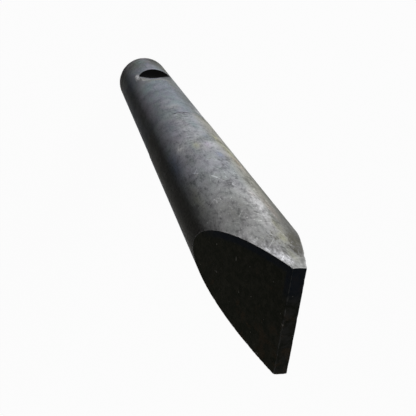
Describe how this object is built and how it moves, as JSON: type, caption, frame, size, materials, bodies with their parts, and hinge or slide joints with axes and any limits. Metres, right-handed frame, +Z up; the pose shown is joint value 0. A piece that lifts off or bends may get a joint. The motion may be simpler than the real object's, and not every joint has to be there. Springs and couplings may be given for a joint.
{
  "type": "breaker wedge chisel",
  "caption": "Round steel bar for a hydraulic rock breaker, with a wedge-shaped working end and a retainer notch near its struck end.",
  "frame": {"origin": "centre of the flat struck face, which the tool stands on", "axes": "+Z up the bar from the struck face to the cutting edge, -Y out of the retainer notch, X along the retainer pin, with the cutting edge along Y"},
  "size_m": [0.1365, 0.1364, 1.2],
  "materials": {
    "tool_steel": "dark worn forged and turned steel"
  },
  "bodies": {
    "root": {"wedge_chisel": "tool_steel"}
  },
  "joints": []
}
